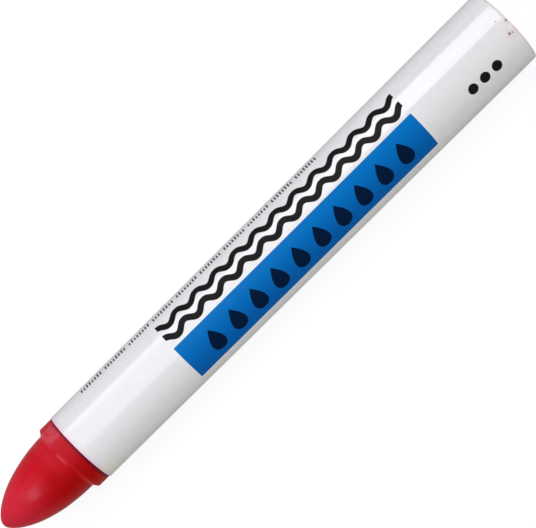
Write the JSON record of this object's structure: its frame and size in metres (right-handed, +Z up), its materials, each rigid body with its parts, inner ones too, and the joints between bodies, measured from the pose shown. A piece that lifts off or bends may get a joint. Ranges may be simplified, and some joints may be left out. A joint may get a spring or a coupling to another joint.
{
  "type": "water-soluble crayon",
  "caption": "Round wax crayon with a bullet point and a stepped shoulder, in a rolled and pasted glossy paper wrapper, for marking and for painting with water.",
  "frame": {"origin": "bottom centre of the box round the crayon as it lies on its side", "axes": "+X runs from the point to the butt, +Z up, with the printed side of the wrapper on top"},
  "size_m": [0.1182, 0.0146, 0.0147],
  "materials": {
    "red_wax": "matte pigmented wax, lightly bloomed and scuffed",
    "coated_paper": "white gloss-coated label paper with a plain blue panel",
    "dried_paste": "dried starch paste"
  },
  "bodies": {
    "root": {"crayon_stick": "red_wax", "paper_wrapper": "coated_paper", "paste_seam": "dried_paste"}
  },
  "joints": []
}
